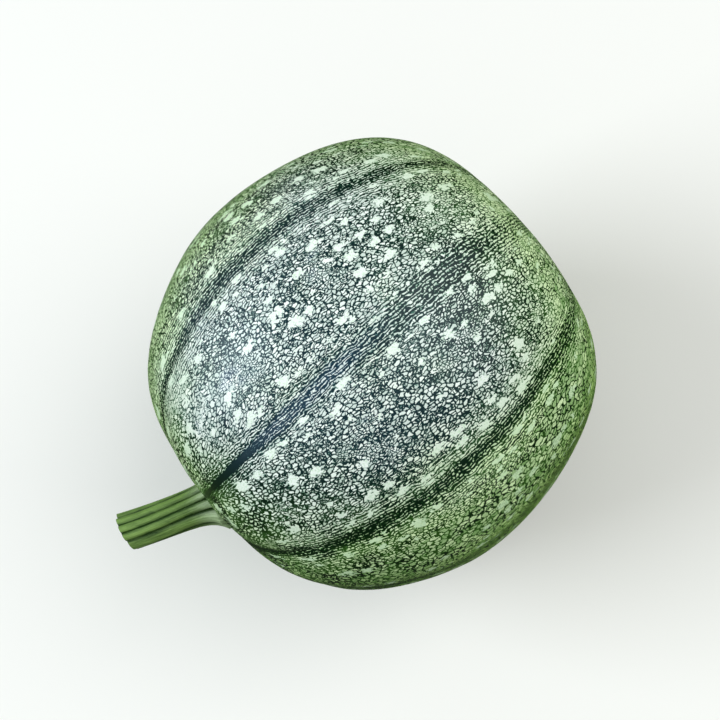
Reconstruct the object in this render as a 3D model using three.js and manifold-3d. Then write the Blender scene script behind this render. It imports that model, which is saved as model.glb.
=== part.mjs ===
// A round zucchini as picked: a ten-ribbed fruit lying on its side, and the ridged stem it was cut with.
// Millimetres, +Z up. The fruit's own axis is level, along X: stem end at -X, blossom end at +X.
// The origin is on the flat ground spot, straight under the widest ring of the fruit.
import * as THREE from "three";
import { mergeVertices } from "three/addons/utils/BufferGeometryUtils.js";
import Module from "manifold-3d";

// Fruit
const fruitRadius = 80; // axis to a rib's crest at the widest ring
const stemHalf = 73.3; // widest ring to the stem end, along the axis
const blossomHalf = 78.6; // widest ring to the blossom end
const stemSquareness = 2.23; // superellipse exponent of the outline: 2 is an ellipse, more is squarer
const blossomSquareness = 2.73;
const ribCount = 10;
const furrowDepth = 0.7; // at the widest ring
const stemFurrowDepth = 4.2; // towards the stem end, where the furrows are deepest
const furrowSharpness = 0.8; // 1 is a plain arc between furrows, less makes the furrow narrower
const swell = { share: 0.01, rate: 6.67, shift: -17.5 }; // a slight bulge of the belly and of both shoulders
const shoulderLean = 0.015; // how much fuller one blossom shoulder is, as a share of the radius
const leanDirection = 70; // degrees about the axis from straight down, towards +Y
const blossomDimple = { depth: 1.6, radius: 13 }; // the sunken scar that the flower leaves
const stemDimple = { depth: 1.2, radius: 19 }; // the hollow that the stem stands in
const groundSpotDepth = 1.8; // how far the lowest rib is flattened by lying on the ground

// Stem
const stemLength = 36; // along its bent centre line, outside the fruit
const stemRadius = 7.1; // to a ridge's top, at the neck
const stemWidening = 0.6; // from the neck to the cut end
const stemFlare = 2.9; // how much wider the foot is, where it spreads over the skin
const flareBias = 0.6; // share by which the foot spreads more on the side that the stem leans away from
const flareLength = 4.5; // the distance over which the flare falls to a third
const stemRoot = 6; // how far the centre line starts inside the fruit, before the stem is cut to the skin
const stemLean = 14; // degrees off the fruit's axis at the foot
const stemBend = 8; // further degrees from foot to cut end
const stemSide = 112.5; // which way it leans and bends: degrees about the axis from straight down, towards +Y
const footOffset = 1.2; // how far the foot sits from the fruit's axis, away from that side
const ridgeCount = 10;
const ridgeDepth = 0.13; // as a share of the radius
const cutSlant = 12; // degrees that the knife cut is off square
const skinGap = 0.3; // between the stem's foot and the skin

// Mesh fineness
const fruitRings = 34;
const fruitSegments = 80;
const stemRings = 16;
const stemSegments = 50;

const bellyRadius = fruitRadius * (1 + swell.share * Math.cos(THREE.MathUtils.degToRad(swell.shift)));
const axisHeight = bellyRadius - groundSpotDepth;
const radians = THREE.MathUtils.degToRad;

// Unit vector square to the fruit's axis, at an angle from straight down towards +Y.
function around(angle) {
  return new THREE.Vector3(0, Math.sin(angle), -Math.cos(angle));
}

// 1 in the bottom of a furrow and 0 on a rib's crest. A crest is straight down.
function furrowShape(angle) {
  return 1 - Math.abs(Math.cos((ribCount / 2) * angle)) ** furrowSharpness;
}

// A round hollow: 1 at its middle, 0 from its rim outwards.
function dimple(distance, radius) {
  const share = Math.min(distance / radius, 1);
  return (1 - share * share) ** 2;
}

// A point of the fruit's skin. latitude runs from -90 degrees at the stem end to 90 at the blossom end.
function skinPoint(latitude, angle, grow = 0) {
  const sine = Math.sin(latitude);
  const cosine = Math.max(Math.cos(latitude), 0);
  const power = 2 / (sine < 0 ? stemSquareness : blossomSquareness);
  const half = (sine < 0 ? stemHalf : blossomHalf) + grow;
  const lean = 1 + shoulderLean * Math.sin(2 * latitude) * Math.cos(angle - radians(leanDirection));
  const stemward = Math.max(-sine, 0);
  const depth = furrowDepth + (stemFurrowDepth - furrowDepth) * stemward * stemward;
  const roundness = cosine ** power;
  const length = half * Math.abs(sine) ** power;
  const slope = Math.sign(sine) * Math.atan2(length, fruitRadius * roundness);
  const bulge = 1 + swell.share * Math.cos(swell.rate * slope + radians(swell.shift));
  const radius = (fruitRadius + grow) * roundness * lean * bulge - depth * roundness * furrowShape(angle);
  const end = sine < 0 ? stemDimple : blossomDimple;
  const along = Math.sign(sine) * (length * bulge - end.depth * dimple(radius, end.radius));
  return around(angle).multiplyScalar(radius).add(new THREE.Vector3(along, 0, axisHeight));
}

// Joins rings of equally many points into one closed surface that faces out, with a cap point at each end.
function closedLoft(rings, firstCap, lastCap) {
  const count = rings[0].length;
  const points = [firstCap, ...rings.flat(), lastCap];
  const last = points.length - 1;
  const index = [];
  for (let k = 0; k < count; k++) {
    const next = (k + 1) % count;
    index.push(0, 1 + next, 1 + k);
    index.push(last, last - count + k, last - count + next);
    for (let ring = 0; ring < rings.length - 1; ring++) {
      const low = 1 + ring * count;
      const high = low + count;
      index.push(low + k, low + next, high + next, low + k, high + next, high + k);
    }
  }
  const geometry = new THREE.BufferGeometry().setFromPoints(points);
  geometry.setIndex(index);
  return geometry;
}

function fruitGeometry(grow = 0) {
  const rings = [];
  for (let ring = 1; ring < fruitRings; ring++) {
    const latitude = radians(-90 + (180 * ring) / fruitRings);
    const points = [];
    for (let k = 0; k < fruitSegments; k++)
      points.push(skinPoint(latitude, (2 * Math.PI * k) / fruitSegments, grow));
    rings.push(points);
  }
  return closedLoft(rings, skinPoint(-Math.PI / 2, 0, grow), skinPoint(Math.PI / 2, 0, grow));
}

// The stem's centre line is a circular arc through the end of the fruit, leaning to one side.
// Its sections are circles with ridges, and widen into the foot.
function stemGeometry() {
  const bend = radians(stemBend);
  const arcRadius = (stemLength + stemRoot) / bend;
  const sideways = around(radians(stemSide));
  const footCentre = new THREE.Vector3(-stemHalf, 0, axisHeight).addScaledVector(sideways, -footOffset);
  const out = new THREE.Vector3(-Math.cos(radians(stemLean)), 0, 0);
  out.addScaledVector(sideways, Math.sin(radians(stemLean)));
  const side = sideways.clone().addScaledVector(out, -sideways.dot(out)).normalize();
  const start = footCentre.addScaledVector(out, -stemRoot);
  const rings = [];
  const centres = [];
  for (let ring = 0; ring <= stemRings; ring++) {
    const share = ring / stemRings;
    const turn = bend * share;
    const centre = start
      .clone()
      .addScaledVector(out, arcRadius * Math.sin(turn))
      .addScaledVector(side, arcRadius * (1 - Math.cos(turn)));
    const along = out.clone().multiplyScalar(Math.cos(turn)).addScaledVector(side, Math.sin(turn));
    const outside = Math.max(share * (stemLength + stemRoot) - stemRoot, 0);
    const flare = stemFlare * Math.exp(-outside / flareLength);
    const slant = Math.tan(radians(cutSlant)) * share ** 4;
    const points = [];
    for (let k = 0; k < stemSegments; k++) {
      const angle = (2 * Math.PI * k) / stemSegments;
      const spoke = around(angle);
      spoke.addScaledVector(along, -spoke.dot(along)).normalize();
      const groove = (1 - Math.cos(ridgeCount * angle)) / 2;
      const width = stemRadius + stemWidening * share + flare * (1 - flareBias * spoke.dot(side));
      const radius = width * (1 - ridgeDepth * groove);
      points.push(
        centre
          .clone()
          .addScaledVector(spoke, radius)
          .addScaledVector(along, slant * radius * spoke.dot(side)),
      );
    }
    rings.push(points.reverse());
    centres.push(centre);
  }
  return closedLoft(rings, centres[0], centres[stemRings]);
}

// The ground, as a slab whose top is the surface that the fruit lies on.
function groundGeometry() {
  const slab = 4 * fruitRadius;
  return new THREE.BoxGeometry(slab, slab, slab).translate(0, 0, -slab / 2);
}

const wasm = await Module();
wasm.setup();

function toSolid(geometry) {
  const bare = geometry.clone();
  bare.deleteAttribute("normal");
  bare.deleteAttribute("uv");
  const merged = mergeVertices(bare, 1e-4);
  const mesh = { numProp: 3, vertProperties: merged.attributes.position.array, triVerts: merged.index.array };
  mesh.triVerts = new Uint32Array(mesh.triVerts);
  return new wasm.Manifold(new wasm.Mesh(mesh));
}

function toGeometry(solid) {
  const mesh = solid.getMesh();
  const geometry = new THREE.BufferGeometry();
  geometry.setAttribute("position", new THREE.BufferAttribute(mesh.vertProperties, mesh.numProp));
  geometry.setIndex(new THREE.BufferAttribute(mesh.triVerts, 1));
  return geometry;
}

function namedMesh(name, solid, material) {
  const mesh = new THREE.Mesh(toGeometry(solid), material);
  mesh.name = name;
  return mesh;
}

const rind = new THREE.MeshStandardMaterial({ color: 0x5f7d5c, roughness: 0.42, metalness: 0 });
const stemSkin = new THREE.MeshStandardMaterial({ color: 0x8fae63, roughness: 0.6, metalness: 0 });

const fruit = toSolid(fruitGeometry()).subtract(toSolid(groundGeometry()));
const peduncle = toSolid(stemGeometry()).subtract(toSolid(fruitGeometry(skinGap)));

const zucchini = new THREE.Group();
zucchini.add(namedMesh("fruit", fruit, rind));
zucchini.add(namedMesh("peduncle", peduncle, stemSkin));

export default zucchini;
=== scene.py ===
import math

import bpy
import numpy as np
from mathutils import Matrix, Vector


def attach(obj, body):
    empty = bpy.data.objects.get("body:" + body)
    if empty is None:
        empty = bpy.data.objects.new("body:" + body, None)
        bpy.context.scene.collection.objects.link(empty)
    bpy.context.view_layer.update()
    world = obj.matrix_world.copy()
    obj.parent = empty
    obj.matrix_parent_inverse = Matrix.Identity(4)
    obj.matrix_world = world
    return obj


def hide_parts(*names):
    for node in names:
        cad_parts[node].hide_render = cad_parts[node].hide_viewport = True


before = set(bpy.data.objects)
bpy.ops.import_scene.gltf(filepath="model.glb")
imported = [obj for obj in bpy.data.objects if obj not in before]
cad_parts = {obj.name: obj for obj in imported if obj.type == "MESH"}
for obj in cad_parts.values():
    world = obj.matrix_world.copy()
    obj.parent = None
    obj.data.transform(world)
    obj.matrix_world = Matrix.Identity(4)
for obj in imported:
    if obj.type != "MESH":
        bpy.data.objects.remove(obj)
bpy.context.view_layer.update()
mm = 0.001
degrees = math.radians(1)


# Smooth random numbers over space, -1 to 1: one number for each corner of a lattice of cubes,
# blended across each cube with a smooth step.
def randomField(points, cubeSize, seed):
    count = 32
    table = np.random.default_rng(seed).uniform(-1, 1, (count, count, count))
    spot = points / cubeSize
    base = np.floor(spot).astype(int)
    share = spot - base
    share = share * share * (3 - 2 * share)
    total = np.zeros(points.shape[:-1])
    for corner in np.ndindex(2, 2, 2):
        weight = np.prod(np.where(corner, share, 1 - share), axis=-1)
        x, y, z = np.moveaxis((base + corner) % count, -1, 0)
        total += weight * table[x, y, z]
    return total


# Unit vectors square to the fruit's axis, at an angle from straight down towards +Y.
def around(angle):
    angle = np.asarray(angle, float)
    return np.stack([np.zeros_like(angle), np.sin(angle), -np.cos(angle)], -1)


def addObject(name, data):
    added = bpy.data.objects.new(name, data)
    bpy.context.collection.objects.link(added)
    return added


# A closed mesh from a grid of points. Rows run from one end to the other, columns go round and join up,
# and a fan of triangles on an end point closes each end.
def closedSkin(name, grid, firstEnd, lastEnd):
    rows, columns = grid.shape[:2]
    points = np.concatenate([[firstEnd], grid.reshape(-1, 3), [lastEnd]])
    column = np.arange(columns)
    following = (column + 1) % columns
    start = 1 + columns * np.arange(rows - 1)[:, None]
    quads = [start + column, start + following, start + columns + following, start + columns + column]
    lastRow = 1 + columns * (rows - 1)
    firstFan = [np.zeros_like(column), 1 + following, 1 + column]
    lastFan = [np.full_like(column, len(points) - 1), lastRow + column, lastRow + following]
    faces = [np.stack(corners, -1).reshape(-1, len(corners)) for corners in (quads, firstFan, lastFan)]
    mesh = bpy.data.meshes.new(name)
    mesh.from_pydata(points, [], [face for part in faces for face in part.tolist()])
    mesh.shade_smooth()
    return addObject(name, mesh)


# Stores three numbers for each point or corner of a piece, for its material to read.
def store(piece, name, domain, parts):
    values = np.concatenate([np.asarray(part, np.float32).reshape(-1, 3) for part in parts])
    attribute = piece.data.attributes.new(name, "FLOAT_VECTOR", domain)
    attribute.data.foreach_set("vector", values.ravel())


# Stores values for each corner of each face of a closed skin, so that a pattern may jump between faces.
# Left and right are the values at each face's two columns, and the end values belong to the fans.
def storeCorners(piece, name, left, right, firstEnd, lastEnd):
    quads = np.stack([left[:-1], right[:-1], right[1:], left[1:]], 2)
    firstFan = np.stack([firstEnd, right[0], left[0]], 1)
    lastFan = np.stack([lastEnd, left[-1], right[-1]], 1)
    store(piece, name, "CORNER", (quads, firstFan, lastFan))


fruitShape = {
    "radius": 80 * mm,  # axis to a rib's crest
    "stemHalf": 73.3 * mm,  # widest ring to the stem end
    "blossomHalf": 78.6 * mm,  # widest ring to the other end
    "stemSquareness": 2.23,  # superellipse exponents
    "blossomSquareness": 2.73,
    "ribs": 10,
    "furrowDepth": 0.7 * mm,
    "stemFurrowDepth": 4.2 * mm,  # near the stem end
    "furrowSharpness": 0.8,  # power of a cosine
    "swell": (0.01, 6.67, -17.5 * degrees),  # share, rate and shift of the belly and shoulder bulge
    "shoulderLean": 0.015,  # share by which the shoulders differ
    "leanDirection": 70 * degrees,  # about the axis from straight down
    "blossomDimple": (1.6 * mm, 13 * mm),  # depth and radius
    "blossomScar": (0.7 * mm, 5.5 * mm),
    "stemDimple": (1.2 * mm, 19 * mm),
    "groundSpotDepth": 1.8 * mm,  # how far the underside is pressed in
    "groundSpotEdge": 0.6 * mm,  # how softly the skin runs into the flat spot
    "lumps": (0.35 * mm, 24 * mm, 11),  # height, size and seed of the broad unevenness
    "dents": (0.05 * mm, 4.5 * mm, 12),  # and of the small one
    "outlineSteps": 4001,  # points that measure a rib's length
    "rows": 230,
    "columns": 400,
}
bellyRadius = fruitShape["radius"] * (1 + fruitShape["swell"][0] * math.cos(fruitShape["swell"][2]))
axisHeight = bellyRadius - fruitShape["groundSpotDepth"]


# 1 in the bottom of a furrow, 0 on a rib's crest, with a crest straight down:
# one minus a power of the cosine of half the rib count times the angle.
def furrowShape(angle, shape=fruitShape):
    return 1 - np.abs(np.cos(shape["ribs"] / 2 * angle)) ** shape["furrowSharpness"]


# A round hollow: one minus the squared distance over the squared radius, all squared.
def dimple(distance, radius):
    return (1 - np.minimum(distance / radius, 1) ** 2) ** 2


# Points of the skin at a latitude, from -90 degrees at the stem end to 90 at the blossom end, and an angle
# about the axis. The outline is a superellipse with a slight bulge, the furrows are cut into it, and its
# ends are hollowed: radius = cosine ** power * (crest * lean * bulge - furrow), and
# distance along = half length * sine ** power * bulge - hollow.
def fruitPoints(latitude, angle, shape=fruitShape):
    sine, cosine = np.sin(latitude), np.maximum(np.cos(latitude), 0)
    stemSide = sine < 0
    power = 2 / np.where(stemSide, shape["stemSquareness"], shape["blossomSquareness"])
    half = np.where(stemSide, shape["stemHalf"], shape["blossomHalf"])
    roundness = cosine**power
    length = half * np.abs(sine) ** power
    share, rate, shift = shape["swell"]
    slope = np.sign(sine) * np.arctan2(length, shape["radius"] * roundness)
    bulge = 1 + share * np.cos(rate * slope + shift)
    lean = 1 + shape["shoulderLean"] * np.sin(2 * latitude) * np.cos(angle - shape["leanDirection"])
    stemward = np.maximum(-sine, 0) ** 2
    depth = shape["furrowDepth"] + (shape["stemFurrowDepth"] - shape["furrowDepth"]) * stemward
    radius = roundness * (shape["radius"] * lean * bulge - depth * furrowShape(angle))
    hollow = np.where(
        stemSide,
        shape["stemDimple"][0] * dimple(radius, shape["stemDimple"][1]),
        shape["blossomDimple"][0] * dimple(radius, shape["blossomDimple"][1])
        + shape["blossomScar"][0] * dimple(radius, shape["blossomScar"][1]),
    )
    along = np.sign(sine) * (length * bulge - hollow)
    points = around(angle) * radius[..., None]
    points[..., 0] = along
    points[..., 2] += axisHeight
    return points


# Moves points out from the middle of the fruit by the broad lumps and the small dents, then lays the
# underside on the ground: height becomes 0 below the edge band, and bends smoothly within it.
def weatheredPoints(points, shape=fruitShape):
    middle = np.array([0, 0, axisHeight])
    outward = points - middle
    outward /= np.linalg.norm(outward, axis=-1, keepdims=True)
    uneven = 0
    for height, size, seed in (shape["lumps"], shape["dents"]):
        uneven = uneven + height * randomField(points, size, seed)
    points = points + outward * uneven[..., None]
    edge = shape["groundSpotEdge"]
    height = points[..., 2]
    bent = np.maximum(height + edge, 0) ** 2 / (4 * edge)
    points[..., 2] = np.where(height > edge, height, bent)
    return points


# Distance along a rib's crest from the widest ring, for latitudes from pole to pole.
def crestLengths(latitude):
    points = fruitPoints(latitude, np.full_like(latitude, math.pi))
    steps = np.linalg.norm(np.diff(points, axis=0), axis=1)
    lengths = np.concatenate([[0], np.cumsum(steps)])
    return lengths - np.interp(0, latitude, lengths)


# The skin's pattern lies on flat strips that run from end to end: one set has its edges in the furrows, the
# other along the crests, and the material changes from one to the other between them.
skinStrips = {
    "apart": 400,  # millimetres from one strip to the next, so that no two look the same
    "crestPinch": (1.2, 6 * degrees),  # cells grow narrower near a furrow: how much, over what angle
    "crestStretch": (0.85, 1.2),  # scale of the crest strips along and across the fruit
    "crestEasing": (-30 * mm, -70 * mm, 0.72),  # cells grow larger from here to here, to one over this much
    "bandTaper": 0.4,  # how much of the fruit's narrowing the bands beside the furrows follow
    "bandSway": (0.3, -0.6, 0.4, -0.3, 0, -2, 0, 0.5, -0.4, 0.6),  # each furrow's, across it, in millimetres
    "top": (0, -0.2, 0.98),  # the way the whitest strip faces
    # the blue of these furrows is partly painted sky reflection
    "marked": {  # how solid, blue and dark the furrows on top are
        4: (0.2, 0.0, 1.0),
        5: (1.0, 1.0, 0.45),
        6: (0.0, 0.0, 1.0),
    },
    "furrowMost": 0.45,  # the most of each that chance gives to the other furrows
    "furrowSeed": 4,
}


# Flat coordinates in millimetres on the strip between two angles: distance along the crest, and distance
# across from the strip's middle, which is the angle from there times the distance from the axis.
def stripCoordinates(along, offset, radius, index, scale=(1, 1)):
    across = offset * radius / mm * scale[1]
    lengthwise = along / mm * scale[0] + index * skinStrips["apart"]
    return np.stack(np.broadcast_arrays(lengthwise, across, 0.0), -1)


# Distances along the fruit that run slower past a start, and how fast they run: the rate falls in
# proportion from 1 at the start to its lowest at the end, and stays there.
def eased(along, easing):
    start, end, rate = easing
    share = np.clip((start - along) / (start - end), 0, 1)
    run = (start - end) * share**2 / 2 + np.maximum(end - along, 0)
    return along + (1 - rate) * run, 1 - (1 - rate) * share


# Stores one set of strips. Each face takes the strip that its middle lies on. Towards a strip's edges its
# coordinate across runs faster, by 1 + amount * exp(-angle from the edge / width).
def storeStrips(piece, name, along, angle, radius, ends, shift, scale=(1, 1), pinch=(0, 1)):
    rib = 2 * math.pi / fruitShape["ribs"]
    step = angle[1] - angle[0]
    index = np.floor((angle + step / 2 + shift) / rib)
    middle = (index + 0.5) * rib - shift
    sides = []
    amount, width = pinch
    for offset, reach in ((angle - middle, radius), (angle + step - middle, np.roll(radius, -1, axis=1))):
        fromEdge = rib / 2 - np.abs(offset)
        moved = np.abs(offset) + amount * width * (np.exp(-fromEdge / width) - math.exp(-rib / 2 / width))
        moved = np.sign(offset) * moved
        sides.append(stripCoordinates(along[:, None], moved, reach, index, scale))
    caps = [stripCoordinates(end, 0 * angle, 0, index, scale) for end in ends]
    storeCorners(piece, name, sides[0], sides[1], caps[0], caps[1])


# The fruit's skin: rows at even distances along a rib's crest, columns at even angles about the axis.
def makeFruit(shape=fruitShape):
    fine = np.linspace(-math.pi / 2, math.pi / 2, shape["outlineSteps"])
    lengths = crestLengths(fine)
    along = np.linspace(lengths[0], lengths[-1], shape["rows"] + 2)[1:-1]
    latitude = np.interp(along, lengths, fine)
    angle = np.arange(shape["columns"]) * 2 * math.pi / shape["columns"]
    latitudes, angles = np.meshgrid(latitude, angle, indexing="ij")
    smooth = fruitPoints(latitudes, angles)
    poles = fruitPoints(np.array([-math.pi / 2, math.pi / 2]), np.zeros(2))
    points = weatheredPoints(smooth)
    piece = closedSkin("fruitSkin", points, *weatheredPoints(poles))

    radius = np.hypot(smooth[..., 1], smooth[..., 2] - axisHeight)
    ends = (lengths[0], lengths[-1])
    rib = 2 * math.pi / shape["ribs"]
    slower, rate = eased(along, skinStrips["crestEasing"])
    slowerEnds = eased(np.array(ends), skinStrips["crestEasing"])[0]
    bent = {"scale": skinStrips["crestStretch"], "pinch": skinStrips["crestPinch"]}
    storeStrips(piece, "crestStrips", slower, angle, radius * rate[:, None], slowerEnds, rib / 2, **bent)
    storeStrips(piece, "furrowStrips", along, angle, radius, ends, 0)

    # place: distance along the fruit, distance from the nearest furrow, and height above the axis along the
    # whitest strip's direction, in mm. The second shrinks less than the fruit towards its ends, so that the
    # bands beside the furrows grow narrower there. It is measured from a line that sways from the furrow by
    # a sine, to one side on the stem's half of the fruit and to the other side on the blossom's.
    taper = skinStrips["bandTaper"]
    reckoned = taper * radius + (1 - taper) * shape["radius"]
    nearest = np.floor(angle / rib).astype(int)
    sway = np.array(skinStrips["bandSway"])[nearest] * mm
    sway = sway * np.sin(math.pi * along / ends[1])[:, None]
    fromFurrow = np.abs(((angles % rib) - rib / 2) * reckoned - sway)
    alongs = np.broadcast_to(along[:, None], radius.shape)
    facing = (points - [0, 0, axisHeight]) @ skinStrips["top"]
    place = np.stack([alongs, fromFurrow, facing], -1) / mm
    store(piece, "place", "POINT", (place[0].mean(axis=0), place, place[-1].mean(axis=0)))

    # How solid, blue and dark the nearest furrow is, each 0 to 1
    chance = np.random.default_rng(skinStrips["furrowSeed"])
    nature = chance.uniform(0, skinStrips["furrowMost"], (shape["ribs"], 3))
    for number, values in skinStrips["marked"].items():
        nature[number] = values
    natures = np.broadcast_to(nature[nearest], points.shape)
    store(piece, "furrowNature", "POINT", (nature.mean(axis=0), natures, nature.mean(axis=0)))
    print("fruit:", len(piece.data.vertices), "points")
    return piece


stemShape = {
    "length": 36 * mm,  # from the skin to the cut
    "root": 6 * mm,  # how deep inside the fruit it starts
    "radius": 7.1 * mm,
    "widening": 0.6 * mm,  # towards the cut
    "flare": 2.9 * mm,  # how far the foot spreads
    "flareLength": 4.5 * mm,  # how soon it narrows
    "flareBias": 0.6,  # how much less it spreads on the side the stem leans to
    "flareRidges": (0.6, 0.7),  # its share in the grooves, and how much more on the ridges
    "lean": 14 * degrees,
    "bend": 8 * degrees,  # from its root to the cut
    "side": 112.5 * degrees,  # where it leans, about the axis from straight down
    "footOffset": 1.2 * mm,  # of the foot, away from that side
    "ridges": 10,
    "ridgeDepth": 0.15,  # share of the radius
    "ridgePower": 0.7,
    "spacingWaves": ((2, 0.13, 0.8), (3, 0.078, 2.0)),  # times round, radians and phase
    "depthWaves": ((3, 0.35, 1.2),),
    "twistWave": (5, 0.08),  # along the stem: rate and radians
    "fineRidges": 60,
    "fineDepth": 0.1 * mm,
    "fineWaves": ((3, 2.0, 0.0),),
    "cutSlant": 12 * degrees,
    "cutSlantPower": 4,  # how close to the cut the rows start to slant
    "cutHollow": 0.35 * mm,
    "cutRings": (0.97, 0.9, 0.75, 0.5, 0.25),  # of points on the cut face, as shares of its radius
    "sharpAngle": 50 * degrees,  # edges sharper than this stay sharp
    "grainRadius": 7,  # of the grain's rolled-up coordinates, in millimetres
    "rows": 120,
    "columns": 480,
}


# A sum of sines round a circle, each with its times round, height and phase.
def waves(angle, parts):
    return sum(height * np.sin(times * angle + phase) for times, height, phase in parts)


# The stem's centre line is a circular arc through the end of the fruit, leaning to one side. Its sections
# are circles with round ridges and narrow grooves, unevenly spaced and finely ribbed, and widen into the
# foot, most along the ridges: radius = (width + flare) * (1 - depth * (1 - |cos| ** power)).
def makeStem(shape=stemShape):
    sideways = around(shape["side"])
    axis = np.array([-1.0, 0, 0])
    foot = np.array([-fruitShape["stemHalf"], 0, axisHeight]) - sideways * shape["footOffset"]
    out = axis * math.cos(shape["lean"]) + sideways * math.sin(shape["lean"])
    side = sideways - out * (sideways @ out)
    side /= np.linalg.norm(side)
    start = foot - out * shape["root"]
    reach = shape["length"] + shape["root"]
    arc = reach / shape["bend"]

    share = np.linspace(0, 1, shape["rows"])
    turn = shape["bend"] * share
    centre = start + arc * (np.sin(turn)[:, None] * out + (1 - np.cos(turn))[:, None] * side)
    heading = np.cos(turn)[:, None] * out + np.sin(turn)[:, None] * side
    angle = -np.arange(shape["columns"]) * 2 * math.pi / shape["columns"]
    spoke = np.broadcast_to(around(angle), (shape["rows"], shape["columns"], 3)).copy()
    spoke -= heading[:, None] * (spoke * heading[:, None]).sum(-1, keepdims=True)
    spoke /= np.linalg.norm(spoke, axis=-1, keepdims=True)
    lateral = spoke @ side

    outside = np.maximum(share * reach - shape["root"], 0)[:, None]
    twistRate, twist = shape["twistWave"]
    uneven = angle + waves(angle, shape["spacingWaves"]) + twist * np.sin(twistRate * share)[:, None]
    ridge = np.abs(np.cos(shape["ridges"] / 2 * uneven)) ** shape["ridgePower"]
    fine = np.abs(np.cos(shape["fineRidges"] / 2 * uneven + waves(angle, shape["fineWaves"])))
    depth = shape["ridgeDepth"] * (1 + waves(angle, shape["depthWaves"]))
    flare = shape["flare"] * np.exp(-outside / shape["flareLength"]) * (1 - shape["flareBias"] * lateral)
    inGrooves, onRidges = shape["flareRidges"]
    flare = flare * (inGrooves + onRidges * ridge)
    width = shape["radius"] + shape["widening"] * share[:, None] + flare
    radius = width * (1 - depth * (1 - ridge)) - shape["fineDepth"] * (1 - fine)
    slant = math.tan(shape["cutSlant"]) * share[:, None] ** shape["cutSlantPower"]
    points = centre[:, None] + spoke * radius[..., None]
    points = points + heading[:, None] * (slant * radius * lateral)[..., None]

    # The cut face: rings towards its middle, sunk by the hollow times one minus their share of the radius
    inner = np.array(shape["cutRings"])
    sunk = heading[-1] * shape["cutHollow"]
    face = centre[-1] + (points[-1] - centre[-1]) * inner[:, None, None] - sunk * (1 - inner)[:, None, None]
    grid = np.concatenate([points, face])
    piece = closedSkin("stemSkin", grid, centre[0], centre[-1] - sunk)
    piece.data.set_sharp_from_angle(angle=shape["sharpAngle"])

    # marks: distance along the stem, share of the cut face's radius, and height on the ridges
    end = shape["length"] / mm
    along = np.concatenate([(share * reach - shape["root"]) / mm, np.full(len(inner), end)])[:, None]
    faceShare = np.concatenate([np.ones(shape["rows"]), inner])[:, None]
    ridge = np.concatenate([ridge, np.repeat(ridge[-1:], len(inner), axis=0)])
    marks = np.stack(np.broadcast_arrays(along, faceShare, ridge), -1)
    store(piece, "marks", "POINT", ((0, 1, 0), marks, (end, 0, 0)))
    rolled = shape["grainRadius"] * np.array([np.cos(angle), np.sin(angle)])
    grain = np.stack(np.broadcast_arrays(along, *rolled), -1)
    store(piece, "grain", "POINT", ((0, 0, 0), grain, (end, 0, 0)))
    print("stem:", len(piece.data.vertices), "points")
    return piece


# A colour written in everyday 0 to 255 numbers, as Blender's linear values.
def colour(red, green, blue):
    parts = [part / 255 for part in (red, green, blue)]
    linear = [part / 12.92 if part <= 0.04045 else ((part + 0.055) / 1.055) ** 2.4 for part in parts]
    return (*linear, 1)


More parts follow.
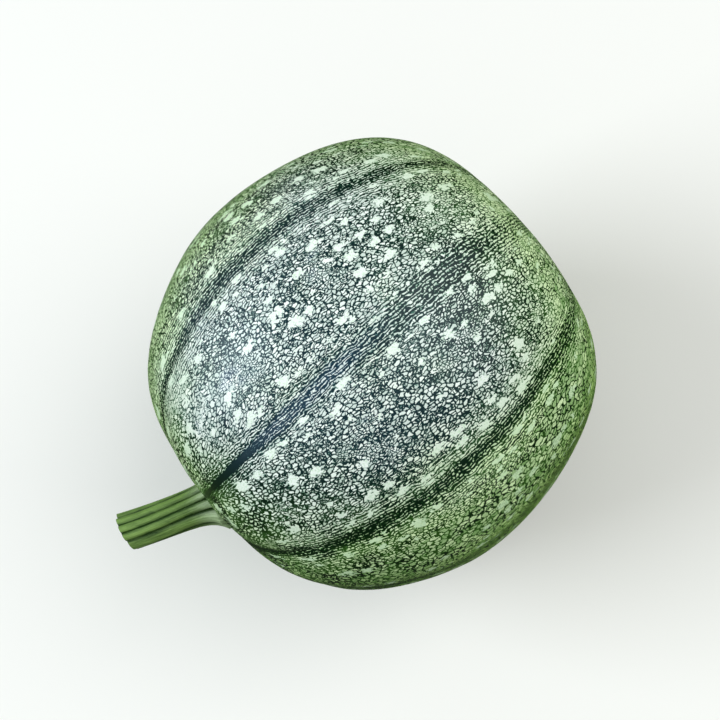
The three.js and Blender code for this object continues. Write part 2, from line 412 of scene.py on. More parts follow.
# Short ways to place nodes in one tree. A value given to an input may be a number or another node's output.
class Nodes:
    def __init__(self, tree):
        self.tree = tree

    def place(self, kind, inputs=None, **settings):
        node = self.tree.nodes.new(kind)
        for key, value in settings.items():
            setattr(node, key, value)
        for key, value in (inputs or {}).items():
            self.set(node.inputs[key], value)
        return node

    def set(self, socket, value):
        if isinstance(value, bpy.types.NodeSocket):
            self.tree.links.new(value, socket)
        else:
            socket.default_value = value

    # Values that a piece keeps at its points or corners.
    def stored(self, name):
        return self.place("ShaderNodeAttribute", attribute_name=name).outputs["Vector"]

    def math(self, operation, first, second=0.0, clamp=False):
        inputs = {0: first, 1: second}
        return self.place("ShaderNodeMath", inputs, operation=operation, use_clamp=clamp).outputs[0]

    # The smaller of two values, rounded off where they cross.
    def softer(self, first, second, rounding):
        inputs = {0: first, 1: second, 2: rounding}
        return self.place("ShaderNodeMath", inputs, operation="SMOOTH_MIN").outputs[0]

    def add(self, *values):
        total = values[0]
        for value in values[1:]:
            total = self.math("ADD", total, value)
        return total

    def times(self, *values):
        total = values[0]
        for value in values[1:]:
            total = self.math("MULTIPLY", total, value)
        return total

    # Masks times the amounts that stand under their names.
    def weighed(self, masks, amounts):
        return [self.times(masks[name], amount) for name, amount in amounts.items()]

    def centred(self, value):
        return self.math("SUBTRACT", value, 0.5)

    def limit(self, value):
        return self.math("MAXIMUM", self.math("MINIMUM", value, 1.0), 0.0)

    def vector(self, operation, first, second=(0, 0, 0), scale=1.0):
        inputs = {0: first}
        if operation == "SCALE":
            inputs["Scale"] = scale
        else:
            inputs[1] = second
        return self.place("ShaderNodeVectorMath", inputs, operation=operation).outputs[0]

    # Coordinates moved aside, so that two patterns don't lie over each other.
    def moved(self, vector, x, y=0.0):
        return self.vector("ADD", vector, (x, y, 0))

    def distance(self, first, second):
        inputs = {0: first, 1: second}
        return self.place("ShaderNodeVectorMath", inputs, operation="DISTANCE").outputs["Value"]

    # A smooth rise from one output value to another as the value goes from low to high.
    def rise(self, value, low, high, start=0.0, end=1.0):
        inputs = {"Value": value, 1: low, 2: high, 3: start, 4: end}
        return self.place("ShaderNodeMapRange", inputs, interpolation_type="SMOOTHSTEP").outputs[0]

    # 1 at the middle, 0 from the half-width outwards.
    def hump(self, value, middle, halfWidth):
        return self.rise(self.math("ABSOLUTE", self.math("SUBTRACT", value, middle)), halfWidth, 0.0)

    # A value between two others.
    def mix(self, factor, first, second):
        inputs = {"Factor": factor, 2: first, 3: second}
        return self.place("ShaderNodeMix", inputs, data_type="FLOAT").outputs[0]

    # A colour between two others.
    def blend(self, factor, first, second):
        inputs = {"Factor": factor, 6: first, 7: second}
        return self.place("ShaderNodeMix", inputs, data_type="RGBA").outputs[2]

    def noise(self, vector, size, detail=2.0, roughness=0.5):
        inputs = {"Vector": vector, "Scale": 1 / size, "Detail": detail, "Roughness": roughness}
        return self.place("ShaderNodeTexNoise", inputs).outputs["Fac"]

    # Noise about 0, times an amount.
    def uneven(self, vector, size, amount):
        return self.times(self.centred(self.noise(vector, size)), amount)

    # Patches: 0 where the noise is below the first edge, 1 where it is above the second.
    def patches(self, vector, size, low, high, detail=2.0, roughness=0.5):
        return self.rise(self.noise(vector, size, detail, roughness), low, high)

    # Flat Voronoi cells: the distance from a cell's border, or from its middle with its random colour.
    def cells(self, vector, size, feature="DISTANCE_TO_EDGE"):
        inputs = {"Vector": vector, "Scale": 1 / size}
        settings = {"feature": feature, "voronoi_dimensions": "2D"}
        return self.place("ShaderNodeTexVoronoi", inputs, **settings).outputs

    # A net with rounded cells: the distance from its lines in millimetres, below 0 in the corners between
    # cells, and three random numbers for each cell.
    def net(self, vector, size, roundness):
        middle = self.cells(vector, size, "F1")
        corner = self.times(middle["Distance"], middle["Distance"], roundness)
        distance = self.math("SUBTRACT", self.cells(vector, size)["Distance"], corner)
        return self.times(distance, size), self.split(middle["Color"])

    def split(self, value):
        return self.place("ShaderNodeSeparateXYZ", {0: value}).outputs

    # Distance from the ends of random lengths of a line, as a share of their mean.
    def pieces(self, distance, size):
        inputs = {"W": distance, "Scale": 1 / size}
        settings = {"feature": "DISTANCE_TO_EDGE", "voronoi_dimensions": "1D"}
        return self.place("ShaderNodeTexVoronoi", inputs, **settings).outputs["Distance"]

    # Lets coordinates wander by noise over the piece. Each bend is the noise's size and how far it reaches.
    def wander(self, vector, position, *bends):
        for size, reach in bends:
            inputs = {"Vector": vector, "Position": position, "Scale": 1 / size, "Reach": reach * 2}
            vector = self.place("ShaderNodeGroup", inputs, node_tree=wanderGroup).outputs["Vector"]
        return vector


# The node group that both skins' patterns wander by: vector + (noise at the position - 0.5) * reach.
def makeWanderGroup():
    group = bpy.data.node_groups.new("wander", "ShaderNodeTree")
    for name, kind in (("Vector", "Vector"), ("Position", "Vector"), ("Scale", "Float"), ("Reach", "Float")):
        group.interface.new_socket(name=name, in_out="INPUT", socket_type="NodeSocket" + kind)
    group.interface.new_socket(name="Vector", in_out="OUTPUT", socket_type="NodeSocketVector")
    nodes = Nodes(group)
    given = nodes.place("NodeGroupInput").outputs
    inputs = {"Vector": given["Position"], "Scale": given["Scale"], "Detail": 1.0, "Roughness": 0.5}
    noise = nodes.place("ShaderNodeTexNoise", inputs).outputs["Color"]
    shift = nodes.vector("SUBTRACT", noise, (0.5, 0.5, 0.5))
    shift = nodes.vector("SCALE", shift, scale=given["Reach"])
    nodes.place("NodeGroupOutput", {"Vector": nodes.vector("ADD", given["Vector"], shift)})
    return group


wanderGroup = makeWanderGroup()


def newMaterial(name):
    material = bpy.data.materials.new(name)
    material.use_nodes = True
    nodes = Nodes(material.node_tree)
    shader = material.node_tree.nodes["Principled BSDF"]
    return material, nodes, shader


# Gives a skin's shader its colour, its fine relief and its roughness.
def surface(nodes, shader, base, height, look):
    strength, depth = look["bump"]
    bump = nodes.place("ShaderNodeBump", {"Height": height, "Strength": strength, "Distance": depth})
    nodes.set(shader.inputs["Base Color"], base)
    nodes.set(shader.inputs["Normal"], bump.outputs[0])
    shader.inputs["Roughness"].default_value = look["roughness"]


# All lengths here are in millimetres. Where a rise has two ends, the first is where it starts and the second
# where it is full. Patches have a size and the noise values at which they start and are full.
rind = {
    # Parts of the skin, each a product of rises of a measure: the distance along the fruit from its widest
    # ring towards the blossom, the level distance across it from its axis, or facing, the height above the
    # axis along the whitest strip's direction.
    "zones": {
        "under": (("facing", 72, 32),),
        "front": (("across", -50, -68),),
        "back": (("across", 12, 40), ("along", 25, -8)),
        "blossomEnd": (("along", 25, 85),),
        "stemEnd": (("along", -50, -95),),
        "stemFront": (("along", -35, -85), ("across", 5, -25)),
        "stemBack": (("along", -25, -60), ("across", -5, 15)),
        "backStrip": (("across", 25, 42), ("along", -45, -10)),
        "frontStrip": (("across", -48, -60), ("along", 5, -45)),
        "blossomSlope": (("along", 40, 75),),
    },
    # How much each zone turns the skin greener and darker: partly its own colour, partly painted shade where
    # it faces the ground and away from the sky
    "greener": {"under": 1, "front": 0.45, "back": 0.4, "blossomEnd": 0.6, "stemEnd": 0.4},
    "greenPatches": (16, 0.5),  # size, and how much greener or less green

    # The bands along the furrows. The drift moves their edges and the fray makes them ragged.
    "streaks": (0.4, 1, 1),  # scale of the space that long patches and the drift are drawn in
    "driftSize": 7,
    "fraySize": 1.4,
    "bandDrift": 4,
    "bandEdge": (4.6, 1),
    "blueWidening": (-55, 30, -1.8, 3.4),  # from here to here along, the edge moves from this to this
    "blueSoftening": (-8, 40, -0.45),  # round here, out to this far, how the bluest furrow's darkness changes
    "blueFade": (45, -5),
    "lineDrift": 1.6,  # of the solid line in the bottom of the furrow, towards the stem
    "lineFray": 0.6,
    "lineWidening": (-80, -35, 1.2, 2.3),
    "lineCore": 0.6,
    "lineFade": (-24, -74),
    "paleRow": (7, 5),  # distance from the furrow, and half its width
    "crestBand": (11, 18),
    "darkPatches": (8, 0.43, 0.66),
    "darkPatchShares": (0.3, 0.4),  # how dark they are off the crests, and on the sides
    "wholePatches": (12, 0.4, 0.6),  # where more of the wide cells stay whole

    # Pale blotches
    "blotchCell": 7.2,  # from one to the next
    "blotchStretch": (1.03, 0.9, 1),
    "blotchBends": ((2.6, 2), (0.9, 0.8)),
    "blotchFray": 0.42,
    "blotchReach": (0.13, 0.4),  # smallest and largest, as shares of their cells
    "blotchChance": (0.42, 0.85),  # elsewhere, and in the pale rows
    "blotchFree": (2, 5),  # none stands nearer the furrow
    "blotchEdge": 3,  # how steeply they start

    # The net
    "wideCell": 1.45,
    "smallCell": 1.02,
    "roundness": 0.1,
    "netBends": ((2.2, 1), (0.7, 0.4)),
    "divided": 0.45,  # share of the wide cells that are divided into small ones
    "dividedChanges": {"paleRow": -0.15, "whole": -0.3, "side": -0.3, "stemFront": -0.3},
    "dividingThinner": 0.04,  # how much thinner their lines are
    "sideCell": 2.1,  # on the sides
    "sideStretch": (1, 0.86, 1),  # wider across the fruit than along it
    "sideBend": (1.6, 1),
    "sideRoundness": 0.05,
    "sideEdge": (60, 36),  # facing
    "sideDrift": 12,
    "sideFray": 0.6,
    "sideOffStem": (-5, -60, 0, -0.5),
    "fineCell": 1.224,  # of the fine lines inside the side's cells
    "fineLift": 0.03,  # keeps them fainter than the net's own

    # The rows of dashes in the furrows
    "rowPitch": 1.15,
    "blueRowPitch": 0.9,  # in the bluest one
    "rowStretch": (1, 0.4, 0.4),
    "rowBend": (4, 1.1),
    "rowShake": (1, 0.8),
    "dashLength": 1.8,
    "dashShift": 37.7,  # from one row to the next, so that their dashes don't line up
    "dashSlant": 4,
    "dashUneven": (1.6, 4),  # size and amount
    "dashRounding": 0.2,
    "dashLift": (0.06, -0.04),  # of the dashes' ends, and of their whole edge
    "rowReach": (5.2, 8.5),  # from the furrow, for a pale one and a dark one
    "rowReachStemBack": 7,
    "rowFray": 11,

    # The lines' thickness. Thicker lines make the skin darker: on the sides, at the stem's front and along
    # the front strip this is partly painted shade, and the thinner lines over the blossom slope are partly
    # painted light
    "lineWidth": 0.136,  # half a line's width
    "thicker": {
        "stemFront": 0.18,
        "stemBack": -0.05,
        "backStrip": 0.03,
        "frontStrip": 0.1,
        "blossomSlope": -0.08,
    },
    "bandThicker": (0.04, 0.17),  # in a pale furrow and in a dark one
    "lineThicker": 0.5,
    "crestThicker": 0.01,
    "sideThicker": (0.05, 0.02),  # between the bands and in them
    "largeCellsThicker": (0.05, 0),
    "faintPatches": (9, 0.42, 0.6),
    "faintThicker": -0.05,
    "veinCell": 9,
    "veinBend": (4, 4),
    "veinEdge": 0.05,
    "veinPatches": (9, 0.45, 0.6),
    "veinThicker": 0.14,
    "unevenThickness": (2.6, 0.1),  # size and amount
    "blotchThicker": (-0.9, -0.5),  # strong and weak blotches
    "plainThicker": -0.09,
    "cloudBend": (9, 8),
    # places where the skin is darker or paler are partly its own tone and partly painted shade and painted
    # sheen
    "toneAndLightClouds": (  # places where the skin is darker or paler, their reach, and how much the lines thicken
        ((46, -28, 143), 26, 0.1),
        ((12, -55, 136), 19, 0.07),
        ((-8, -42, 146), 12, 0.03),
        ((-34, -38, 142), 12, 0.04),
        ((-8, 0, 158), 16, -0.03),
        ((33, -38, 145), 13, 0.05),
        ((62, 18, 136), 20, 0.07),
        ((35, -74, 98), 24, 0.06),
        ((-46, -4, 145), 24, -0.08),
    ),
    "haloEdge": (-0.05, 0.05),  # from a line's edge
    "fleckEdge": (0, 0.12),

    # The blossom scar and the skin on the ground
    "scarRadius": 4.6,
    "scarEdge": 0.5,
    "scarRing": (9, 6),  # the plain skin round it
    "scarOffStem": (60, 30, 0, 50),  # from here to here along, its axis seems this much farther away
    "scarCracks": (0.8, 0.4, 0.6),
    "groundHeight": 3.4,  # where its pale skin starts
    "groundDrift": 5,
    "groundPlain": 0.9,  # how plain it is, and how much of its own colour it takes
    "groundTint": 0.75,

    # Colours. The blue line and halo colours are partly the skin's own navy and partly painted sky
    # reflection, in the bluest furrow and on top; the side colours, greener and darker, are partly painted
    # shade
    "line": colour(0, 26, 10),
    "lineBlue": colour(22, 50, 66),
    "lineSide": colour(2, 32, 0),
    "faintSide": colour(62, 108, 32),  # lines where the net is faint
    "faintTint": 0.6,
    "halo": colour(56, 132, 88),  # beside the lines
    "haloBlue": colour(76, 118, 142),
    "haloSide": colour(62, 134, 14),
    "fleck": colour(246, 255, 249),  # inside the cells
    # Flecks on the sides: darker yellow-green low down and paler higher up, partly as painted shade
    "fleckSide": colour(204, 247, 142),
    "fleckEnd": colour(230, 255, 200),
    "fleckSideEdge": (15, 45),  # facing
    "blotchSide": colour(220, 248, 202),
    "blotchGrain": colour(196, 230, 192),
    "grainPatches": (0.55, 0.46, 0.66),
    "grainTint": 0.6,
    "cellTones": (0.6, 1),  # a cell's own paleness
    "sideCellTones": (0.3, 1),
    "blotchTone": 0.95,
    "bandTone": 0.9,
    "navyPatches": (14, 0.42, 0.6),
    # painted sky sheen: how blue the fruit's top is made
    "skySheenOnTop": 0.5,
    "blueFromBlossom": (60, -10),
    "blueFromStem": (-90, -50),  # along and across together
    "scar": colour(150, 132, 88),
    "scarCrack": colour(84, 74, 42),
    "ground": colour(208, 204, 140),
    # painted sky reflection: a bluish tint on the wax's shine, in place of a blue sky
    "skyTintedShine": (0.7, 0.88, 1, 1),  # tint of the wax's shine
    "roughness": 0.33,
    "refraction": 1.4,
    "bump": (0.15, 0.1 * mm),  # strength and height
}


def makeRind(look=rind):
    material, nodes, shader = newMaterial("nettedRind")
    crest, furrow = nodes.stored("crestStrips"), nodes.stored("furrowStrips")
    along, fromFurrow, facing = nodes.split(nodes.stored("place"))
    solid, bluish, dark = nodes.split(nodes.stored("furrowNature"))
    position = nodes.place("ShaderNodeTexCoord").outputs["Object"]
    position = nodes.vector("SCALE", position, scale=1 / mm)
    across, upwards = nodes.split(position)[1:]
    streaky = nodes.vector("MULTIPLY", position, look["streaks"])

    measures = {"along": along, "across": across, "facing": facing}
    zones = {}
    for name, edges in look["zones"].items():
        zones[name] = nodes.times(*[nodes.rise(measures[measure], *edge) for measure, *edge in edges])

    # How green a spot is: 0 along the top of the fruit's middle, 1 at the sides and ends. This is partly the
    # skin's own greener sides and partly painted shade: the sides facing away from the sky get darker,
    # yellower colours and thicker lines
    patchy = nodes.uneven(position, *look["greenPatches"])
    side = nodes.limit(nodes.add(*nodes.weighed(zones, look["greener"]), patchy))

    # Bands that run from end to end with the furrows
    drift = nodes.centred(nodes.noise(streaky, look["driftSize"]))
    fray = nodes.centred(nodes.noise(position, look["fraySize"]))
    edgeDistance = nodes.add(fromFurrow, nodes.times(drift, look["bandDrift"]))
    start, full = look["bandEdge"]
    start = nodes.add(start, nodes.times(bluish, nodes.rise(along, *look["blueWidening"])))
    furrowBand = nodes.rise(edgeDistance, start, full)
    middle, halfWidth, amount = look["blueSoftening"]
    dark = nodes.add(dark, nodes.times(bluish, nodes.hump(along, middle, halfWidth), amount))
    bluish = nodes.times(bluish, nodes.rise(along, *look["blueFade"]))
    lineDistance = nodes.add(
        fromFurrow,
        nodes.times(drift, look["lineDrift"]),
        nodes.times(fray, look["lineFray"]),
    )
    furrowLine = nodes.rise(lineDistance, nodes.rise(along, *look["lineWidening"]), look["lineCore"])
    furrowLine = nodes.times(furrowLine, nodes.rise(along, *look["lineFade"]), solid)
    paleRow = nodes.hump(edgeDistance, *look["paleRow"])
    crestBand = nodes.rise(edgeDistance, *look["crestBand"])

    # Patches without a row of their own
    offCrest, onSides = look["darkPatchShares"]
    darkPatch = nodes.patches(streaky, *look["darkPatches"], detail=3.0, roughness=0.6)
    darkPatch = nodes.times(nodes.mix(crestBand, offCrest, 1.0), darkPatch, nodes.mix(side, 1.0, onSides))
    whole = nodes.patches(nodes.moved(streaky, 70.0), *look["wholePatches"])

    # Pale blotches with ragged edges, most of them in the rows beside the furrows
    blotchSpace = nodes.wander(crest, position, *look["blotchBends"])
    blotchSpace = nodes.vector("MULTIPLY", blotchSpace, look["blotchStretch"])
    blotches = nodes.cells(blotchSpace, look["blotchCell"], "F1")
    blotchDistance = nodes.add(blotches["Distance"], nodes.times(fray, look["blotchFray"]))
    sizePick, chancePick, strengthPick = nodes.split(blotches["Color"])
    reach = nodes.mix(sizePick, *look["blotchReach"])
    wanted = nodes.math("LESS_THAN", chancePick, nodes.mix(paleRow, *look["blotchChance"]))
    blotch = nodes.math("SUBTRACT", 1.0, nodes.math("DIVIDE", blotchDistance, reach), clamp=True)
    blotch = nodes.times(blotch, wanted, nodes.rise(edgeDistance, *look["blotchFree"]))
    steepBlotch = nodes.times(blotch, look["blotchEdge"])
    blotchMask = nodes.limit(steepBlotch)

    # The net, as the distance in millimetres from its lines: wide cells, many of them divided into small
    # ones. In the dark patches all are small.
    netSpace = nodes.wander(crest, position, *look["netBends"])
    wide, cell = nodes.net(netSpace, look["wideCell"], look["roundness"])
    small = nodes.net(nodes.moved(netSpace, 7.3, 3.1), look["smallCell"], look["roundness"])[0]
    masks = {"paleRow": paleRow, "whole": whole, "side": side, "stemFront": zones["stemFront"]}
    share = nodes.add(look["divided"], darkPatch, *nodes.weighed(masks, look["dividedChanges"]))
    undivided = nodes.math("GREATER_THAN", cell[0], share)
    wide = nodes.add(wide, nodes.math("GREATER_THAN", darkPatch, 0.5))
    net = nodes.math("MINIMUM", wide, nodes.add(small, undivided, look["dividingThinner"]))

    # On the sides the cells are larger, with fine lines inside
    sideSpace = nodes.vector("MULTIPLY", netSpace, look["sideStretch"])
    sideSpace = nodes.wander(sideSpace, nodes.moved(position, 30.0), look["sideBend"])
    sideNet, sideCell = nodes.net(sideSpace, look["sideCell"], look["sideRoundness"])
    turned = nodes.rise(nodes.add(facing, nodes.times(drift, look["sideDrift"])), *look["sideEdge"])
    offStem = nodes.rise(along, *look["sideOffStem"])
    turned = nodes.add(turned, nodes.times(fray, look["sideFray"]), offStem)
    onSide = nodes.math("GREATER_THAN", turned, 0.5)
    net = nodes.mix(onSide, net, sideNet)
    fineSide = nodes.net(nodes.moved(sideSpace, 5.1, 2.7), look["fineCell"], 0.0)[0]

    # In the furrows the net turns into wavy rows of dashes
    rows = nodes.wander(furrow, nodes.vector("MULTIPLY", position, look["rowStretch"]), look["rowBend"])
    rows = nodes.wander(rows, streaky, look["rowShake"])
    rowAlong, rowAcross = nodes.split(rows)[:2]
    pitch = nodes.mix(bluish, look["rowPitch"], look["blueRowPitch"])
    rowAcross = nodes.math("DIVIDE", rowAcross, pitch)
    row = nodes.math("FLOOR", rowAcross)
    rowShare = nodes.centred(nodes.math("FRACT", rowAcross))
    rowEdge = nodes.times(nodes.math("SUBTRACT", 0.5, nodes.math("ABSOLUTE", rowShare)), pitch)
    size, amount = look["dashUneven"]
    cutPlace = nodes.add(
        rowAlong,
        nodes.times(row, look["dashShift"]),
        nodes.times(rowShare, fray, look["dashSlant"]),
        nodes.times(nodes.noise(nodes.moved(rows, 0.0, 50.0), size, detail=1.0), amount),
    )
    cuts = nodes.times(nodes.pieces(cutPlace, look["dashLength"]), look["dashLength"])
    endLift, edgeLift = look["dashLift"]
    dashes = nodes.softer(rowEdge, nodes.add(cuts, endLift), look["dashRounding"])
    dashes = nodes.add(dashes, edgeLift)
    rowReach = nodes.mix(dark, *look["rowReach"])
    rowReach = nodes.add(rowReach, nodes.times(zones["stemBack"], look["rowReachStemBack"]))
    frayed = nodes.add(edgeDistance, nodes.times(fray, look["rowFray"]))
    net = nodes.mix(nodes.math("LESS_THAN", frayed, rowReach), net, dashes)

    # Faint places on the sides, a few broad veins, the corky scar at the blossom end with a plain ring round
    # it, and the skin on the ground, where the net fades
    faint = nodes.patches(nodes.moved(streaky, 0.0, 90.0), *look["faintPatches"])
    faint = nodes.times(side, faint, nodes.mix(furrowBand, 1.0, 0.0))
    veins = nodes.cells(nodes.wander(crest, position, look["veinBend"]), look["veinCell"])["Distance"]
    veinPatch = nodes.patches(position, *look["veinPatches"])
    vein = nodes.times(nodes.rise(veins, look["veinEdge"], 0.0), veinPatch)
    flat = nodes.vector("MULTIPLY", position, (0, 1, 1))
    fromAxis = nodes.distance(flat, (0, 0, axisHeight / mm))
    fromAxis = nodes.add(fromAxis, fray, nodes.rise(along, *look["scarOffStem"]))
    scarRadius, scarEdge = look["scarRadius"], look["scarEdge"]
    scar = nodes.rise(fromAxis, scarRadius + scarEdge, scarRadius - scarEdge)
    cracks = nodes.patches(position, *look["scarCracks"], detail=3.0, roughness=0.7)
    height = nodes.add(upwards, nodes.times(drift, look["groundDrift"]), fray)
    ground = nodes.rise(height, look["groundHeight"], 0.0)
    ring = nodes.rise(fromAxis, *look["scarRing"])
    plain = nodes.math("MAXIMUM", ring, nodes.times(ground, look["groundPlain"]))

    # Half the lines' width
    thickness = nodes.add(
        look["lineWidth"],
        nodes.times(furrowBand, nodes.mix(dark, *look["bandThicker"])),
        nodes.times(furrowLine, look["lineThicker"]),
        nodes.times(crestBand, look["crestThicker"]),
        nodes.times(side, nodes.mix(furrowBand, *look["sideThicker"])),
        nodes.times(onSide, nodes.mix(furrowBand, *look["largeCellsThicker"])),
        nodes.times(faint, look["faintThicker"]),
        nodes.times(vein, look["veinThicker"]),
        nodes.uneven(position, *look["unevenThickness"]),
        nodes.times(blotch, nodes.mix(strengthPick, *look["blotchThicker"])),
        nodes.times(plain, look["plainThicker"]),
        *nodes.weighed(zones, look["thicker"]),
    )
    # Broad darker and paler places: partly the skin's tone, partly painted shade and painted sheen
    cloudSpace = nodes.wander(position, position, look["cloudBend"])
    for centre, reach, amount in look["toneAndLightClouds"]:
        away = nodes.distance(cloudSpace, centre)
        thickness = nodes.add(thickness, nodes.rise(away, reach, 0.0, 0.0, amount))

    # Distance above the lines' edges
    above = nodes.math("SUBTRACT", net, thickness)
    above = nodes.math("MINIMUM", above, nodes.add(fineSide, nodes.mix(onSide, 1.0, look["fineLift"])))
    haloMask = nodes.rise(above, *look["haloEdge"])
    fleckMask = nodes.rise(above, *look["fleckEdge"])

    # Colours: whiter and bluer on top, greener towards the ground and the ends. The whiter, bluer top is
    # partly painted sky sheen, and the greener, darker sides are partly painted shade, laid over the skin's
    # own colours
    navy = nodes.times(darkPatch, nodes.patches(position, *look["navyPatches"]))
    blue = nodes.math("MAXIMUM", navy, nodes.times(furrowBand, bluish))
    blue = nodes.math("MAXIMUM", blue, nodes.mix(side, look["skySheenOnTop"], 0.0))
    blue = nodes.times(blue, nodes.rise(along, *look["blueFromBlossom"]))
    blue = nodes.times(blue, nodes.rise(nodes.add(along, across), *look["blueFromStem"]))
    line = nodes.blend(blue, look["line"], look["lineBlue"])
    line = nodes.blend(side, line, look["lineSide"])
    line = nodes.blend(nodes.times(faint, look["faintTint"]), line, look["faintSide"])
    halo = nodes.blend(blue, look["halo"], look["haloBlue"])
    halo = nodes.blend(side, halo, look["haloSide"])
    base = nodes.blend(haloMask, line, halo)
    sideFleck = nodes.rise(facing, *look["fleckSideEdge"])
    sideFleck = nodes.blend(sideFleck, look["fleckSide"], look["fleckEnd"])
    sideFleck = nodes.blend(blotchMask, sideFleck, look["blotchSide"])
    fleck = nodes.blend(side, look["fleck"], sideFleck)
    grain = nodes.patches(position, *look["grainPatches"], roughness=0.6)
    grain = nodes.times(grain, look["grainTint"], blotchMask)
    fleck = nodes.blend(grain, fleck, look["blotchGrain"])
    topTone = nodes.mix(cell[1], *look["cellTones"])
    ownTone = nodes.mix(onSide, topTone, nodes.mix(sideCell[1], *look["sideCellTones"]))
    blotchTone = nodes.rise(steepBlotch, 0.0, 1.0, 0.0, look["blotchTone"])
    ownTone = nodes.math("MAXIMUM", ownTone, blotchTone)
    strength = nodes.times(fleckMask, ownTone, nodes.mix(furrowBand, 1.0, look["bandTone"]))
    base = nodes.blend(strength, base, fleck)
    base = nodes.blend(nodes.times(ground, look["groundTint"]), base, look["ground"])
    base = nodes.blend(scar, base, nodes.blend(cracks, look["scarCrack"], look["scar"]))

    surface(nodes, shader, base, haloMask, look)
    shader.inputs["IOR"].default_value = look["refraction"]
    # The shine's bluish tint stands in for a reflected sky
    shader.inputs["Specular Tint"].default_value = look["skyTintedShine"]
    return material


stemFinish = {
    "ridge": colour(130, 166, 84),
    "foot": colour(172, 198, 148),
    # grooves: partly the stem's own darker green lines, partly painted shade in them
    "groove": colour(38, 72, 12),
    "cut": colour(188, 204, 146),
    "footReach": (11.0, 1.0),  # in millimetres from the skin
    "ridgeTone": (0.2, 1.0, 0.0, 0.75),  # from this low on a ridge to this high, from this tone to this
    "streakWidth": 0.7,  # in millimetres
    "streakStretch": 0.08,
    "streakBend": (3.0, 0.3),
    "streakTone": 1.5,
    "broadWidth": 4.0,  # of broader streaks
    "broadStretch": 0.3,
    "broadTone": 0.8,
    "cutEdge": (0.99, 0.96),  # share of the cut face's radius
    "cutStreaks": (0.3, 0.6),
    "roughness": 0.5,
    "bump": (0.5, 0.3 * mm),  # strength and height
}


def makeStemSkin(look=stemFinish):
    material, nodes, shader = newMaterial("ridgedStem")
    along, faceShare, ridge = nodes.split(nodes.stored("marks"))
    grain = nodes.stored("grain")

    streakSpace = nodes.vector("MULTIPLY", grain, (look["streakStretch"], 1, 1))
    streakSpace = nodes.wander(streakSpace, grain, look["streakBend"])
    streak = nodes.noise(streakSpace, look["streakWidth"], detail=3.0, roughness=0.6)
    broadSpace = nodes.vector("MULTIPLY", grain, (look["broadStretch"], 1, 1))
    broad = nodes.noise(broadSpace, look["broadWidth"])
    # Tone: low in the grooves, where it is partly painted shade, and streaked along the grain
    tone = nodes.add(
        nodes.rise(ridge, *look["ridgeTone"]),
        nodes.times(nodes.centred(streak), look["streakTone"]),
        nodes.times(nodes.centred(broad), look["broadTone"]),
    )
    crown = nodes.blend(nodes.rise(along, *look["footReach"]), look["ridge"], look["foot"])
    skin = nodes.blend(nodes.limit(tone), look["groove"], crown)
    cut = nodes.blend(nodes.rise(streak, *look["cutStreaks"]), look["ridge"], look["cut"])
    base = nodes.blend(nodes.rise(faceShare, *look["cutEdge"]), skin, cut)

    surface(nodes, shader, base, streak, look)
    return material


fruit = makeFruit()
fruit.data.materials.append(makeRind())
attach(fruit, "root")
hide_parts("fruit")

stem = makeStem()
stem.data.materials.append(makeStemSkin())
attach(stem, "root")
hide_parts("peduncle")
print("pieces made")


stage = {
    "floorSize": 6.0,
    "floor": colour(240, 240, 236),  # as the camera sees it
    "floorBounce": colour(84, 92, 74),  # as it lights the fruit from below
    "floorGloss": colour(56, 66, 46),  # as it is mirrored in the skin
    "floorRoughness": 0.9,
    "world": (0.95, 0.98, 1.0, 1),
    "worldStrength": 0.44,
    "worldGloss": 0.07,  # its strength in reflections
    "worldSeen": 0.82,  # and as the camera sees it
}


def makeFloor(settings=stage):
    half = settings["floorSize"] / 2
    corners = [(-half, -half, 0), (half, -half, 0), (half, half, 0), (-half, half, 0)]
    mesh = bpy.data.meshes.new("floor")
    mesh.from_pydata(corners, [], [(0, 1, 2, 3)])
    floor = addObject("floor", mesh)
    material, nodes, shader = newMaterial("paleFloor")
    rays = nodes.place("ShaderNodeLightPath").outputs
    tone = nodes.blend(rays["Is Glossy Ray"], settings["floorBounce"], settings["floorGloss"])
    nodes.set(shader.inputs["Base Color"], nodes.blend(rays["Is Camera Ray"], tone, settings["floor"]))
    shader.inputs["Roughness"].default_value = settings["floorRoughness"]
    mesh.materials.append(material)


def makeWorld(settings=stage):
    world = bpy.data.worlds.new("studio")
    world.use_nodes = True
    nodes = Nodes(world.node_tree)
    background = world.node_tree.nodes["Background"]
    rays = nodes.place("ShaderNodeLightPath").outputs
    strength = nodes.mix(rays["Is Glossy Ray"], settings["worldStrength"], settings["worldGloss"])
    strength = nodes.mix(rays["Is Camera Ray"], strength, settings["worldSeen"])
    background.inputs["Color"].default_value = settings["world"]
    nodes.set(background.inputs["Strength"], strength)
    bpy.context.scene.world = world


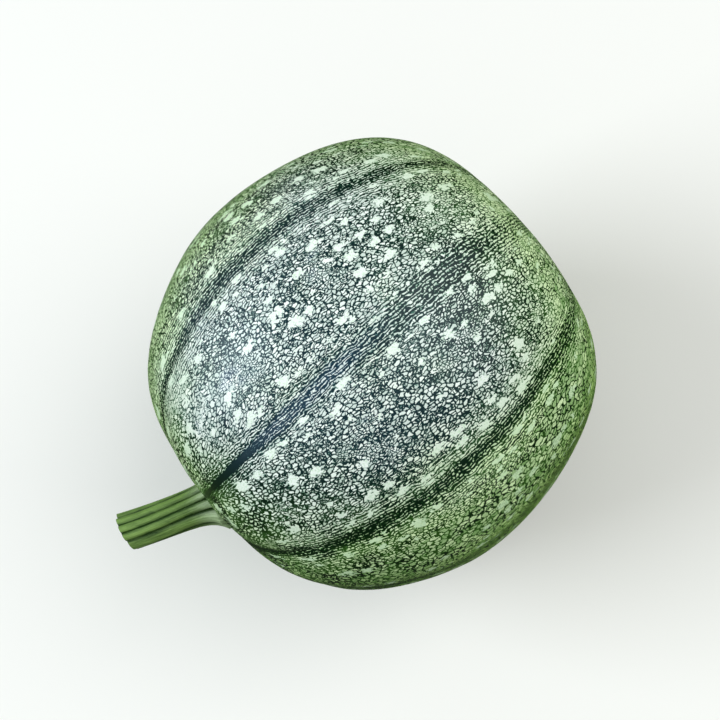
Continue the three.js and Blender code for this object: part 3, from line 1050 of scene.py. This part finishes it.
lights = {
    "window": {"place": (-1.55, 1.0, 1.6), "size": 1.6, "power": 39.5, "tint": (0.91, 0.965, 1.0)},
    "top": {"place": (1.5, -1.0, 1.75), "size": 2.2, "power": 39.5, "tint": (1.0, 0.99, 0.96)},
}


def makeLights(settings=lights):
    target = Vector((0, 0, axisHeight))
    for name, one in settings.items():
        lamp = bpy.data.lights.new(name, "AREA")
        lamp.size = one["size"]
        lamp.energy = one["power"]
        lamp.color = one["tint"]
        holder = addObject(name, lamp)
        away = Vector(one["place"]) - target
        holder.location = one["place"]
        holder.rotation_euler = away.to_track_quat("Z", "Y").to_euler()


cameraSettings = {
    "azimuth": 1.3 * degrees,
    "elevation": 67.3 * degrees,
    "roll": 40.9 * degrees,  # the camera is held turned, so the fruit's axis climbs to the right
    "distance": 353.5 * mm,
    "lens": 46.5,
    "sensor": 36,
    "nearest": 10 * mm,
    "aside": -0.5 * mm,  # the aim, from the fruit's axis at its widest ring
    "above": 4.8 * mm,
}


def makeCamera(settings=cameraSettings):
    azimuth, elevation, roll = (settings[key] for key in ("azimuth", "elevation", "roll"))
    level = np.array([math.cos(azimuth), math.sin(azimuth), 0])
    back = np.array([math.sin(azimuth), -math.cos(azimuth), 0]) * math.cos(elevation)
    back = back + np.array([0, 0, math.sin(elevation)])
    upright = np.cross(back, level)
    right = level * math.cos(roll) - upright * math.sin(roll)
    up = level * math.sin(roll) + upright * math.cos(roll)
    place = np.array([0, 0, axisHeight]) + right * settings["aside"] + up * settings["above"]
    place = place + back * settings["distance"]
    data = bpy.data.cameras.new("camera")
    data.lens = settings["lens"]
    data.sensor_width = settings["sensor"]
    data.clip_start = settings["nearest"]
    camera = addObject("camera", data)
    turn = np.eye(4)
    turn[:3, 0], turn[:3, 1], turn[:3, 2], turn[:3, 3] = right, up, back, place
    camera.matrix_world = Matrix(turn.tolist())
    bpy.context.scene.camera = camera


makeFloor()
makeWorld()
makeLights()
makeCamera()
bpy.context.scene.view_settings.view_transform = "Standard"
print("stage, lights and camera set")
